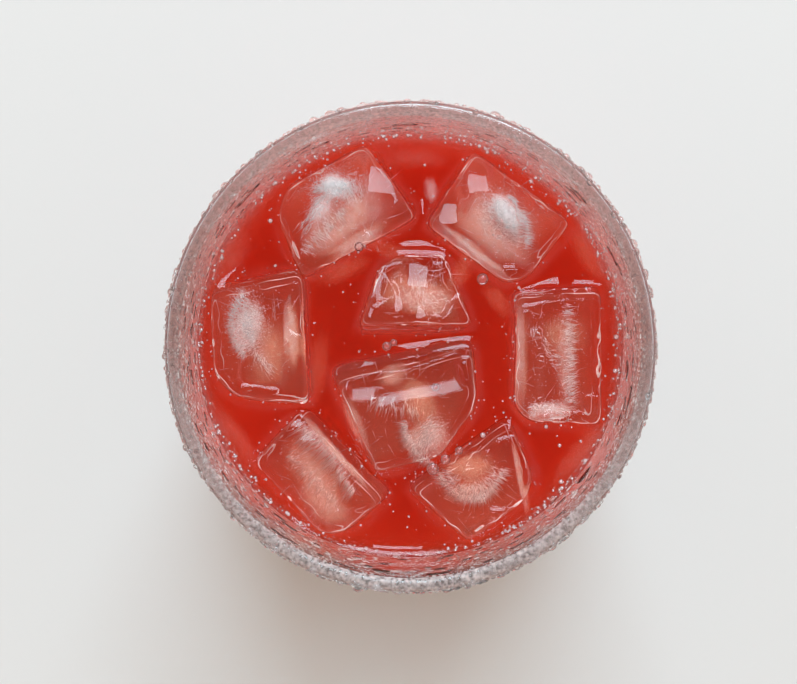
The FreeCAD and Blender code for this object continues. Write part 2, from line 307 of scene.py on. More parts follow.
class StageSizes(bpy.types.PropertyGroup):
    """The floor, the light and the camera."""

    floor: colour("Floor", "Colour of the floor", (0.735, 0.716, 0.716))
    window: colour("Window", "Colour of the window's light", (0.68, 0.90, 1.0))
    window_power: number("Window power", "Power of the window's light, in watts", 41.0)
    window_away: length("Window away", "From the glass to the window", 2.1)
    sky: colour("Sky", "Colour of the light from all round", (1.0, 0.796, 0.645))
    sky_strength: number("Sky strength", "Strength of the light from all round", 0.83)
    overhead: number("Overhead", "How much of that light comes from straight above", 0.10)
    camera_height: length("Camera height", "Height of the camera above the rim", 280.0 * MM)
    camera_ahead: length("Camera ahead", "How far the camera stands towards +Y", 6.9 * MM)
    view_width: length("View width", "Width of the view at the rim", 141.9 * MM)
    aim_x: bpy.props.FloatProperty(name="Aim X", description="Where the camera aims", default=-2.05 * MM,
                                   precision=5, unit="LENGTH")
    aim_y: bpy.props.FloatProperty(name="Aim Y", description="Where the camera aims", default=0.98 * MM,
                                   precision=5, unit="LENGTH")


GROUPS = {
    "cocktail_glass": GlassSizes,
    "cocktail_drink": DrinkSizes,
    "cocktail_ice": IceSizes,
    "cocktail_drops": DropSizes,
    "cocktail_stage": StageSizes,
}


# ---------------------------------------------------------------------------------------------------
# Meshes
# ---------------------------------------------------------------------------------------------------

def new_piece(name, vertices, quads=None, triangles=None, materials=(), slots=None):
    """Make a smooth mesh object from whole arrays of vertices, four-sided and three-sided faces."""
    quads = np.empty((0, 4), int) if quads is None else np.asarray(quads)
    triangles = np.empty((0, 3), int) if triangles is None else np.asarray(triangles)
    corners = np.concatenate([quads.ravel(), triangles.ravel()]).astype(np.int32)
    sizes = np.repeat([4, 3], [len(quads), len(triangles)])
    starts = np.concatenate([[0], np.cumsum(sizes)[:-1]]).astype(np.int32)
    mesh = bpy.data.meshes.new(name)
    mesh.vertices.add(len(vertices))
    mesh.vertices.foreach_set("co", np.asarray(vertices, np.float32).ravel())
    mesh.loops.add(len(corners))
    mesh.loops.foreach_set("vertex_index", corners)
    mesh.polygons.add(len(sizes))
    mesh.polygons.foreach_set("loop_start", starts)
    mesh.update(calc_edges=True)
    mesh.polygons.foreach_set("use_smooth", np.ones(len(sizes), bool))
    for material in materials:
        mesh.materials.append(material)
    if slots is not None:
        mesh.polygons.foreach_set("material_index", np.asarray(slots, np.int32))
    mesh.update()
    piece = bpy.data.objects.new(name, mesh)
    bpy.context.scene.collection.objects.link(piece)
    return piece


def settle(piece, slot, *nodes):
    """Let a piece ride with the glass and stand for its CAD nodes. Its slot is not used."""
    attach(piece, "root")
    if nodes:
        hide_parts(*nodes)


def rounded(corners, radii, step=math.radians(6)):
    """Round an outline's corners. At a corner P with unit vectors u and v to its neighbours and half the
    angle between them a, the arc's middle is P + r / sin a along u + v, and it touches both sides."""
    corners = [np.array(corner, float) for corner in corners]
    points = [corners[0]]
    for before, corner, after, radius in zip(corners, corners[1:], corners[2:], radii):
        if radius <= 0:
            points.append(corner)
            continue
        u = (before - corner) / np.linalg.norm(before - corner)
        v = (after - corner) / np.linalg.norm(after - corner)
        half = math.acos(np.clip(u @ v, -1, 1)) / 2
        middle = corner + (u + v) / np.linalg.norm(u + v) * radius / math.sin(half)
        touch = radius / math.tan(half)
        first, last = corner + u * touch - middle, corner + v * touch - middle
        start = math.atan2(first[1], first[0])
        turn = (math.atan2(last[1], last[0]) - start + math.pi) % (2 * math.pi) - math.pi
        angles = start + turn * np.linspace(0, 1, max(3, math.ceil(abs(turn) / step)))
        points.extend(middle + radius * np.column_stack([np.cos(angles), np.sin(angles)]))
    points.append(corners[-1])
    return np.array(points)


def circle(angle, *rest):
    """Rows of (cos a, sin a) and whatever else each row holds."""
    return np.column_stack([np.cos(angle), np.sin(angle), *rest])


def rings(radius, height, around):
    """Rings of points about Z, one for each radius and height, from the +X side."""
    angle = np.linspace(0, 2 * math.pi, around, endpoint=False)
    return np.stack([np.outer(radius, np.cos(angle)), np.outer(radius, np.sin(angle)),
                     np.repeat(height[:, None], around, axis=1)], axis=-1).reshape(-1, 3)


def fan(first, around, tip, flip=False):
    """The three-sided faces between a ring, whose points start at first, and a tip."""
    a = first + np.arange(around)
    b = first + (np.arange(around) + 1) % around
    return np.column_stack([*((b, a) if flip else (a, b)), np.full(around, tip)])


def between_rings(rows, around):
    """The faces between rings of points: each one's row, and its two points on the row's first ring."""
    row, column = np.meshgrid(np.arange(rows), np.arange(around), indexing="ij")
    return row.ravel(), (row * around + column).ravel(), (row * around + (column + 1) % around).ravel()


def turned(profile, around):
    """Turn a profile from axis to axis about Z: x = r cos a, y = r sin a. Returns the vertices, the
    four-sided faces, the three-sided ones at the two poles, and each face's place on the profile."""
    body = rings(*profile[1:-1].T, around)
    vertices = np.vstack([body, [0, 0, profile[0][1]], [0, 0, profile[-1][1]]])
    row, a, b = between_rings(len(profile) - 3, around)
    quads = np.column_stack([a, b, b + around, a + around])
    fans = np.vstack([fan(0, around, len(body), True), fan(len(body) - around, around, len(body) + 1)])
    return vertices, quads, np.roll(fans, 1, axis=1), row


def ball(steps):
    """The six sides of a cube, each a grid of steps by steps faces, with its points pushed out to unit
    length: (tan u, tan v, 1) / length, for u and v from -45 to 45 degrees. Seams are merged."""
    side = np.tan(np.linspace(-math.pi / 4, math.pi / 4, steps + 1))
    u, v = np.meshgrid(side, side, indexing="ij")
    one = np.ones_like(u)
    faces = [(one, u, v), (-one, v, u), (v, one, u), (u, -one, v), (u, v, one), (v, u, -one)]
    points = np.concatenate([np.stack(face, axis=-1).reshape(-1, 3) for face in faces])
    points /= np.linalg.norm(points, axis=1, keepdims=True)
    row, column = np.meshgrid(np.arange(steps), np.arange(steps), indexing="ij")
    corner = (row * (steps + 1) + column).ravel()
    quad = np.column_stack([corner, corner + steps + 1, corner + steps + 2, corner + 1])
    quads = np.concatenate([quad + index * (steps + 1) ** 2 for index in range(6)])
    _, keep, same = np.unique(np.round(points, 7), axis=0, return_index=True, return_inverse=True)
    return points[keep], same.ravel()[quads]


def turn_matrix(turn, pitch, roll):
    """Rz(turn) Ry(pitch) Rx(roll), from degrees."""
    a, b, c = np.radians([turn, pitch, roll])
    rz = np.array([[math.cos(a), -math.sin(a), 0], [math.sin(a), math.cos(a), 0], [0, 0, 1]])
    ry = np.array([[math.cos(b), 0, math.sin(b)], [0, 1, 0], [-math.sin(b), 0, math.cos(b)]])
    rx = np.array([[1, 0, 0], [0, math.cos(c), -math.sin(c)], [0, math.sin(c), math.cos(c)]])
    return rz @ ry @ rx


def wavy(points, waves, random):
    """A smooth unevenness from -1 to 1: the mean of sines along random ways, at lengths near waves."""
    count = 14
    ways = random.normal(size=(count, points.shape[1]))
    ways /= np.linalg.norm(ways, axis=1, keepdims=True)
    pitch = 2 * math.pi / (waves * random.uniform(0.7, 1.5, count))
    phase = random.uniform(0, 2 * math.pi, count)
    return np.sin(points @ (ways * pitch[:, None]).T + phase).sum(axis=1) / math.sqrt(count) / 1.4


def strew(name, shape, places, frames, sizes, material, slot):
    """Copy a small shape to many places, as one piece: each vertex is place + frame (size * vertex).
    frames holds a 3 by 3 matrix for each place, or is None for none turned, and sizes holds one scale or
    three for each place."""
    template, faces = shape
    sizes = sizes if sizes.ndim == 2 else np.repeat(sizes[:, None], 3, axis=1)
    frames = np.repeat(np.eye(3)[None], len(places), axis=0) if frames is None else frames
    vertices = np.einsum("nij,nkj->nki", frames, template[None] * sizes[:, None, :]) + places[:, None, :]
    joined = faces[None] + (np.arange(len(places)) * len(template))[:, None, None]
    settle(new_piece(name, vertices.reshape(-1, 3), None, joined.reshape(-1, 3), (material,)), slot)


def frames_along(normals, random=None):
    """A right-handed set of axes for each normal, with the normal as Z and, if random is given, a
    random turn about it."""
    z = normals / np.linalg.norm(normals, axis=1, keepdims=True)
    aid = np.where(np.abs(z[:, 2:3]) < 0.9, [[0.0, 0.0, 1.0]], [[1.0, 0.0, 0.0]])
    x = np.cross(aid, z)
    x /= np.linalg.norm(x, axis=1, keepdims=True)
    y = np.cross(z, x)
    if random is not None:
        angle = random.uniform(0, 2 * math.pi, len(z))[:, None]
        x, y = x * np.cos(angle) + y * np.sin(angle), y * np.cos(angle) - x * np.sin(angle)
    return np.stack([x, y, z], axis=2)


def dome(rows, around, sink=0.25):
    """A unit drop: (cos t cos a, cos t sin a, sin t) for t from 0 to 90 degrees, closed by one ring sunk
    below its foot. All its faces are three-sided."""
    tilt = np.linspace(0, math.pi / 2, rows, endpoint=False)
    body = rings(np.array([1, *np.cos(tilt)]), np.array([-sink, *np.sin(tilt)]), around)
    _, a, b = between_rings(rows, around)
    return np.vstack([body, [0, 0, 1], [0, 0, -sink]]), np.vstack([
        np.column_stack([a, b, b + around]), np.column_stack([a, b + around, a + around]),
        fan(rows * around, around, len(body)), fan(0, around, len(body) + 1, True)])


def bead(rows, around):
    """A unit ball: (sin t cos a, sin t sin a, cos t), with its poles closed by three-sided faces."""
    tilt = np.linspace(0, math.pi, rows + 1)[1:-1]
    body = rings(np.sin(tilt), np.cos(tilt), around)
    _, a, b = between_rings(rows - 2, around)
    return np.vstack([body, [0, 0, 1], [0, 0, -1]]), np.vstack([
        np.column_stack([a, a + around, b + around]), np.column_stack([a, b + around, b]),
        fan(0, around, len(body)), fan(len(body) - around, around, len(body) + 1, True)])


def needle():
    """A unit needle along Z: a three-sided spike, widest a fifth of the way up, closed at both ends."""
    body = rings(np.ones(1), np.full(1, 0.2), 3)
    return np.vstack([body, [0, 0, 0], [0, 0, 1]]), np.vstack([fan(0, 3, 4), fan(0, 3, 3, True)])


def uneven(random, middle, spread, total):
    """Radii in metres, about a middle one in millimetres: their logarithms are spread normally."""
    return np.exp(random.normal(math.log(middle), spread, total)) * MM


def random_source(extra):
    """A source of random numbers that gives the same ones on each run."""
    return np.random.default_rng(bpy.context.scene.cocktail_drops.seed * 100 + extra)


# ---------------------------------------------------------------------------------------------------
# The forms of the glass, the ice and the drink's surface
# ---------------------------------------------------------------------------------------------------

def bore_radius(height):
    """The inside's radius at a height: it grows evenly from the floor to the rim."""
    size = bpy.context.scene.cocktail_glass
    slope = (size.rim_radius - size.foot_radius) / size.height
    return size.rim_radius - size.wall - slope * (size.height - height)


def outside_radius(height):
    """The outside's radius at a height, below the rim's round."""
    return bore_radius(height) + bpy.context.scene.cocktail_glass.wall


def block_planes(name):
    """The sides of a block as planes n . x = h about its middle: four sides that lean in by the draft, the
    cut corner, top, bottom and chip. Returns n, h in metres and the block's turn as a matrix."""
    block = BLOCKS[name]
    unit = bore_radius(bpy.context.scene.cocktail_drink.level) / PLAN_RADIUS
    half_long, half_wide = block.long * unit / 2 - CLEAR, block.wide * unit / 2 - CLEAR
    taper, cut, deep, chip = block.taper * unit, block.cut * unit, block.deep * MM, block.chip * MM
    lean = cut / (2 * half_wide) * taper
    corners = np.array([
        (-half_long, -half_wide), (half_long, -half_wide), (half_long - taper, half_wide),
        (-half_long + taper + cut, half_wide), (-half_long + taper - lean, half_wide - cut)])
    along = np.roll(corners, -1, axis=0) - corners
    normals = np.column_stack([along[:, 1], -along[:, 0]])
    normals /= np.linalg.norm(normals, axis=1, keepdims=True)
    reach = (normals * corners).sum(axis=1)
    planes = [np.array([n[0] * math.cos(DRAFT), n[1] * math.cos(DRAFT), -math.sin(DRAFT)])
              for n in normals]
    heights = list((reach - deep / 2 * math.tan(DRAFT)) * math.cos(DRAFT))
    planes += [np.array([0, 0, 1.0]), np.array([0, 0, -1.0])]
    heights += [deep / 2, deep / 2]
    side = ("south", "east", "north").index(block.chip_side)
    planes.append(np.array([normals[side][0], normals[side][1], 1]) / math.sqrt(2))
    heights.append((reach[side] - chip + deep / 2) / math.sqrt(2))
    return np.array(planes), np.array(heights), turn_matrix(block.turn, block.pitch, block.roll)


def block_form(name, grown=0.0, steps=None):
    """A block's surface about its middle: along each way d, out to 1 / (sum max(0, n . d / h)^p)^(1/p),
    which is the inside of all its planes with blunted edges, dented by a smooth unevenness. A ramp is a
    plane cut into the top: a point above it, at the slope times how far along it is, comes down to it.
    The middle is put so that the block fills its CAD node's box. grown moves the surface out, and steps
    makes it coarser. The form's planes are n / h, and its matrix is the block's turn."""
    size = bpy.context.scene.cocktail_ice
    planes, heights, matrix = block_planes(name)
    ways, quads = ball(steps or size.steps)
    blunt = np.maximum(ways @ (planes / heights[:, None]).T, 0)
    radius = (blunt ** size.bluntness).sum(axis=1) ** (-1 / size.bluntness)
    random = random_source(list(BLOCKS).index(name))
    local = ways * radius[:, None]
    vertices = local @ matrix.T
    on_top = np.clip((local[:, 2] / heights[BOTTOM] + 0.2) / 0.7, 0, 1)
    wobble = 0.5 * MM * wavy(vertices, 5.0 * MM, random)
    up = matrix[:, 2] / matrix[2, 2]
    bumps = size.dents * (wavy(local, 11.0 * MM, random) + 0.35 * wavy(local, 4.0 * MM, random))
    below = heights[TOP] - local[:, 2] - bumps
    drop = np.zeros(len(vertices))
    for way, slope, start, wide, right, half in BLOCKS[name].ramps:
        a = math.radians(way)
        along = vertices[:, 0] * math.cos(a) + vertices[:, 1] * math.sin(a) - start * MM
        across = vertices[:, 0] * math.sin(a) - vertices[:, 1] * math.cos(a) + wobble - right * MM
        ends = np.clip((half * MM + 0.6 * MM - np.abs(across)) / (1.2 * MM), 0, 1)
        ends = ends ** 2 * (3 - 2 * ends)
        fall = max(math.tan(math.radians(slope)) - (up[0] * math.cos(a) + up[1] * math.sin(a)), 0.02)
        drop = np.maximum(drop, (fall * np.minimum(along, wide * MM) - below) * ends)
    vertices = vertices + (ways * bumps[:, None]) @ matrix.T
    vertices[:, 2] -= drop * on_top
    low, high = (np.array(corner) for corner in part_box(name))
    middle = (low + high) / 2 - (vertices.min(axis=0) + vertices.max(axis=0)) / 2
    vertices = vertices + grown * ways @ matrix.T
    return Form(vertices + middle, quads, middle, planes / heights[:, None], matrix)


def distance_to_ice(flat, level):
    """About how far each point (x, y) at the level is from the nearest block: along the line from the
    block's middle, the surface is at 1 / f of the way, for f = (sum max(0, n . x / h)^p)^(1/p)."""
    power = bpy.context.scene.cocktail_ice.bluntness
    nearest = np.full(len(flat), 1.0)
    for name in BLOCKS:
        form = block_form(name)
        reach = np.column_stack([flat, np.full(len(flat), level)]) - form.middle
        local = reach @ form.matrix
        f = (np.maximum(local @ form.planes.T, 0) ** power).sum(axis=1) ** (1 / power)
        nearest = np.minimum(nearest, np.linalg.norm(reach[:, :2], axis=1) * (1 - 1 / np.maximum(f, 0.2)))
    return nearest


def surface_height(flat):
    """The drink's surface: the level, with the climb at the glass and at the ice dying away as
    exp(-distance / reach), and a slow ripple."""
    size = bpy.context.scene.cocktail_drink
    wall = np.maximum(bore_radius(size.level) - np.linalg.norm(flat, axis=1), 0)
    ice = np.maximum(distance_to_ice(flat, size.level + size.ice_rise * 0.6), 0)
    ripple = wavy(flat, 9.0 * MM, random_source(40))
    return (size.level + size.wall_rise * np.exp(-wall / size.wall_reach)
            + size.ice_rise * np.exp(-ice / size.ice_reach) + size.ripple * ripple)


# ---------------------------------------------------------------------------------------------------
# Materials
# ---------------------------------------------------------------------------------------------------

class Graph:
    """The node graph of a material or a world, emptied. Its methods return a node's output."""

    def __init__(self, owner, end="OutputMaterial"):
        owner.use_nodes = True
        self.owner = owner
        self.nodes, self.links = owner.node_tree.nodes, owner.node_tree.links
        self.nodes.clear()
        self.end = self.nodes.new("ShaderNode" + end)

    def add(self, kind, inputs=None, out=0, **settings):
        """Add a node and return one of its outputs. Each input is a constant, or an output to wire to it,
        and a constant colour of three gets its alpha."""
        node = self.nodes.new("ShaderNode" + kind)
        for name, value in settings.items():
            setattr(node, name, value)
        for name, value in (inputs or {}).items():
            if isinstance(value, bpy.types.NodeSocket):
                self.links.new(value, node.inputs[name])
            else:
                node.inputs[name].default_value = (*value, 1) if hasattr(value, "__len__") else value
        return node.outputs[out]

    def mix(self, share, first, second):
        """Mix two shaders by the second one's share."""
        return self.add("MixShader", {0: share, 1: first, 2: second})

    def axis(self, name, coordinates="Object"):
        """One axis of a set of coordinates."""
        return self.add("SeparateXYZ", {0: self.add("TexCoord", out=coordinates)}, name)

    def ramp(self, value, from_low, from_high, to_low=0.0, to_high=1.0, **settings):
        """Map a value from one range to another."""
        return self.add("MapRange", {"Value": value, "From Min": from_low, "From Max": from_high,
                                     "To Min": to_low, "To Max": to_high}, "Result", **settings)

    def glassy(self, tint, index, roughness=0.0):
        """A Principled shader for clear glass, water or ice."""
        return self.add("BsdfPrincipled", {"Base Color": tint, "Roughness": roughness, "IOR": index,
                                           "Transmission Weight": 1.0})

    def relief(self, shader, scale, strength, distance, detail=3.0):
        """Roughen a shader's surface with noise on Object coordinates. Returns the noise."""
        place = self.add("TexCoord", out="Object")
        noise = self.add("TexNoise", {"Vector": place, "Scale": scale, "Detail": detail}, "Fac")
        bump = self.add("Bump", {"Strength": strength, "Distance": distance, "Height": noise}, "Normal")
        self.links.new(bump, shader.node.inputs["Normal"])
        return noise

    def pale(self, colour, through):
        """A matt shader that lets a share of the light pass through."""
        return self.mix(through, self.add("BsdfDiffuse", {"Color": colour}),
                        self.add("BsdfTranslucent", {"Color": colour}))

    def show(self, shader, slot="Surface"):
        """Put a shader out, and return the material or world."""
        self.links.new(shader, self.end.inputs[slot])
        return self.owner

    def show_but_lamps(self, shader, tint):
        """Put a shader out, but let lamplight pass straight through it with a tint."""
        clear = self.add("BsdfTransparent", {"Color": tint})
        return self.show(self.mix(self.add("LightPath", out="Is Shadow Ray"), shader, clear))


def new_material(name):
    """The graph of a new material."""
    return Graph(bpy.data.materials.new(name))


def clear_glass():
    """The glass's dry, clean faces."""
    size = bpy.context.scene.cocktail_glass
    graph = new_material("clear_glass")
    shader = graph.glassy(size.tint, GLASS)
    graph.relief(shader, 90.0, 0.05, 0.0004)
    return graph.show_but_lamps(shader, size.tint)


def wetted_glass():
    """The glass's inside below the drink's level, where the drink lies against it."""
    graph = new_material("wetted_glass")
    return graph.show(graph.add("BsdfTransparent"))


def misted_glass(name, mist, thinnest, thickest):
    """Glass under a thin uneven veil of mist, too fine to see as drops. The veil's colour is painted light,
    the drink's red light seen in the mist. On the outside it thickens from the glass's side away from the
    window, at -Y, to the side towards it, as painted shading that keeps the near wall red and makes the far
    wall pale."""
    size = bpy.context.scene.cocktail_glass
    graph = new_material(name)
    shader = graph.glassy(size.tint, GLASS, 0.04)
    noise = graph.relief(shader, 1400.0, 0.15, 0.0004, 4.0)
    patchy = graph.ramp(noise, 0.35, 0.7, size.mist_share * 0.4, size.mist_share * 1.6)
    thinner = graph.ramp(graph.axis("Y"), -size.rim_radius, size.rim_radius, thinnest, thickest)
    share = graph.add("Math", {0: patchy, 1: thinner}, operation="MULTIPLY", use_clamp=True)
    # Painted light: the veil carries the drink's red, and its share by Y paints the near wall redder and the
    # far wall paler.
    return graph.show_but_lamps(graph.mix(share, shader, graph.pale(mist, 0.22)), (0.66, 0.64, 0.63))


def cloudy_drink():
    """The drink: clear red water at its open surface, the faint bend of light where it meets ice and
    glass, and a red cloudiness through its depth."""
    size = bpy.context.scene.cocktail_drink
    graph = new_material("cloudy_drink")
    surface = graph.glassy((1, 1, 1), WATER)
    for attribute, index in (("at_ice", 1.333 / ICE), ("at_glass", 1.333 / GLASS)):
        side = graph.add("BsdfGlass", {"Roughness": 0.0, "IOR": index})
        surface = graph.mix(graph.add("Attribute", out="Fac", attribute_name=attribute), surface, side)
    graph.show(graph.add("VolumePrincipled", {"Color": size.scatter, "Density": size.density,
                                              "Anisotropy": 0.3}), "Volume")
    return graph.show_but_lamps(surface, (1, 1, 1))


def wet_ice():
    """Ice: glassy above the waterline, unseen where the drink wets it, with a faint haze whose red is painted
    light, the drink's light glowing in the ice.
    """
    size = bpy.context.scene.cocktail_ice
    drink = bpy.context.scene.cocktail_drink
    graph = new_material("wet_ice")
    shader = graph.glassy((1, 1, 1), ICE, 0.01)
    graph.relief(shader, 420.0, 0.06, 0.0003)
    waterline = drink.level + drink.ice_rise * 0.85
    above = graph.add("Math", {0: graph.axis("Z"), 1: waterline}, operation="GREATER_THAN")
    # Painted light: the haze is red for the drink's light in the ice.
    graph.show(graph.add("VolumeScatter", {"Color": size.drink_lit_haze, "Density": size.haze}), "Volume")
    return graph.show_but_lamps(graph.mix(above, graph.add("BsdfTransparent"), shader), (1, 1, 1))


def frost_material(name, near, far, veiled=False):
    """Fine needles, bubbles and mist frozen in the ice: pale, with light passing through. Their tint is
    painted light: the drink's red light painted into the near colour, at -Y, fading to the whiter far colour
    towards the window. The mist is as thick at each point as its attribute says."""
    graph = new_material(name)
    # Painted light: the colour runs from the drink-lit near colour at -Y to the whiter far one.
    along = graph.ramp(graph.axis("Y"), -28 * MM, 28 * MM)
    tint = graph.add("Mix", {"Factor": along, "A": near, "B": far}, "Result", data_type="RGBA")
    surface = graph.pale(tint, 0.4)
    if veiled:
        thick = graph.add("Attribute", out="Fac", attribute_name="thickness")
        surface = graph.mix(thick, graph.add("BsdfTransparent"), surface)
    return graph.show(surface)


def water_drop(name, tint):
    """Drops of water, clean or tinted by the drink."""
    graph = new_material(name)
    return graph.show_but_lamps(graph.glassy(tint, WATER), (0.95, 0.95, 0.95))


def bubble_film(name, cloudiness):
    """A bubble's thin film: clear or slightly cloudy in the middle and bright at its edge."""
    graph = new_material(name)
    milk = graph.add("BsdfDiffuse", {"Color": (1, 0.88, 0.88)})
    cloudy = graph.mix(cloudiness, graph.add("BsdfTransparent"), milk)
    gloss = graph.add("BsdfGlossy", {"Roughness": 0.05, "Color": (1, 0.93, 0.93)})
    film = graph.mix(graph.add("Fresnel", {"IOR": 1.5}), cloudy, gloss)
    return graph.show_but_lamps(film, (0.97, 0.95, 0.95))


# ---------------------------------------------------------------------------------------------------
# Operators
# ---------------------------------------------------------------------------------------------------

class BuildGlass(bpy.types.Operator):
    """Turn the tumbler: a heavy foot, a straight flared wall and a rim rounded right over"""

    bl_idname = "cocktail.build_glass"
    bl_label = "Glass"

    def execute(self, context):
        size = context.scene.cocktail_glass
        drink = context.scene.cocktail_drink
        wet = drink.level + drink.wall_rise
        low_bore = bore_radius(size.floor)
        corners = [(0, 0), (size.foot_radius, 0), (size.rim_radius, size.height),
                   (size.rim_radius - size.wall, size.height), (bore_radius(wet), wet),
                   (low_bore, size.floor), (0, size.floor)]
        radii = [size.foot_round, size.wall * RIM_ROUND, size.wall * RIM_ROUND, 0, size.bowl_round]
        profile = rounded(corners, radii)
        vertices, quads, triangles, row = turned(profile, size.around)
        outline = profile[1:-1]
        middles = (outline[row] + outline[row + 1]) / 2
        outward = np.diff(outline, axis=0)[row]
        shoulder = size.height - size.wall * 0.25
        outside = (outward[:, 1] > 0) & (middles[:, 1] < shoulder) & (middles[:, 0] > size.foot_radius * 0.97)
        wetted = (middles[:, 1] < wet) & (middles[:, 1] > size.floor - 1e-6) & (outward[:, 1] <= 1e-9)
        clean, misted, wet_inside, misted_rim_sheen = range(4)
        slots = np.where(outside, misted, np.where(wetted, wet_inside, clean))
        # Mist on the rim's round, thick at -Y and gone towards the window: real condensation with a painted
        # highlight, the silver band on the near rim.
        slots[middles[:, 1] > size.height - size.wall * 0.3] = misted_rim_sheen
        pole_slots = np.repeat([clean, wet_inside], size.around)
        glass = new_piece("tumbler", vertices, quads, triangles,
                          (clear_glass(),
                           misted_glass("misted_glass", size.mist, size.mist_thinnest, size.mist_thickest),
                           wetted_glass(), misted_glass("misted_rim_sheen", size.rim_mist_and_sheen, 1.9, -1.6)),
                          np.concatenate([slots, pole_slots]))
        settle(glass, "glass", "glass")
        return {"FINISHED"}


class BuildIce(bpy.types.Operator):
    """Form the eight blocks of ice, each in its CAD node's place"""

    bl_idname = "cocktail.build_ice"
    bl_label = "Ice"

    def execute(self, context):
        material = wet_ice()
        for name in BLOCKS:
            form = block_form(name)
            block = new_piece(name.replace("ice_", "block_"), form.vertices, form.faces, None, (material,))
            settle(block, "ice", name)
        return {"FINISHED"}


class BuildDrink(bpy.types.Operator):
    """Pour the drink: the bore's own shape under an uneven surface, cut out round the ice"""

    bl_idname = "cocktail.build_drink"
    bl_label = "Drink"

    def execute(self, context):
        glass = context.scene.cocktail_glass
        size = context.scene.cocktail_drink
        top = bore_radius(size.level)
        steps = np.concatenate([np.linspace(0, 1, 90)[1:-1] * (top - 3 * MM),
                                top - 3 * MM * (1 - np.linspace(0, 1, 22)) ** 1.3])
        surface = np.column_stack([np.concatenate([[0], steps]), np.full(len(steps) + 1, size.level)])
        surface[-1, 0] += size.into_wall
        wall = rounded([surface[-1] - (0, 1.2 * MM), (bore_radius(glass.floor) + size.into_wall,
                        glass.floor - size.into_wall), (0, glass.floor - size.into_wall)],
                       [glass.bowl_round])
        profile = np.vstack([surface, wall])[::-1]
        vertices, quads, triangles, _ = turned(profile, 288)
        on_top = vertices[:, 2] > size.level - 1e-6
        vertices[on_top, 2] = surface_height(vertices[on_top, :2])
        drink = new_piece("poured_drink", vertices, quads, triangles, (cloudy_drink(),))
        for name in BLOCKS:
            form = block_form(name, size.ice_gap, size.cut_steps)
            cutter = new_piece("cutter", form.vertices, form.faces)
            cut = drink.modifiers.new("cut", "BOOLEAN")
            cut.operation = "DIFFERENCE"
            cut.solver = "MANIFOLD"
            cut.object = cutter
            apply_modifiers(drink)
            bpy.data.objects.remove(cutter)
        mark_sides(drink)
        settle(drink, "drink", "drink")
        return {"FINISHED"}


def apply_modifiers(piece):
    """Bake a piece's modifiers into its mesh."""
    graph = bpy.context.evaluated_depsgraph_get()
    baked = bpy.data.meshes.new_from_object(piece.evaluated_get(graph))
    piece.modifiers.clear()
    piece.data = baked


def mark_sides(drink):
    """Mark the drink's faces that lie against ice and against glass, and crease the waterline."""
    mesh = drink.data
    count = len(mesh.polygons)
    centres = np.empty(count * 3)
    mesh.polygons.foreach_get("center", centres)
    normals = np.empty(count * 3)
    mesh.polygons.foreach_get("normal", normals)
    centres, normals = centres.reshape(-1, 3), normals.reshape(-1, 3)
    off = np.abs(centres[:, 2] - surface_height(centres[:, :2]))
    out = np.linalg.norm(centres[:, :2], axis=1)
    size = bpy.context.scene.cocktail_glass
    at_glass = (out > bore_radius(centres[:, 2]) - 0.02 * MM) | (centres[:, 2] < size.floor + size.bowl_round)
    open_air = (off < 0.08 * MM) & (normals[:, 2] > 0.3) & ~at_glass
    for name, here in (("at_glass", at_glass), ("at_ice", ~at_glass & ~open_air)):
        marks = mesh.attributes.new(name, "FLOAT", "FACE")
        marks.data.foreach_set("value", here.astype(np.float32))
    mesh.polygons.foreach_set("use_smooth", np.ones(count, bool))
    mesh.set_sharp_from_angle(angle=math.radians(40))


def along_stroke(ends, bow, width, count, random):
    """Points (x, y) strewn along a bowed stroke: start + t (end - start) + bow (1 - (2t - 1)^2) to the
    left, for t from 0 to 1, moved off it by a normal spread. Returns t and the points."""
    share = random.uniform(0, 1, count)
    along = ends[1] - ends[0]
    left = np.array([-along[1], along[0]]) / np.linalg.norm(along)
    points = np.outer(1 - share, ends[0]) + np.outer(share, ends[1])
    points += np.outer(bow * (1 - (2 * share - 1) ** 2), left)
    return share, points + random.normal(0, width, (count, 2))


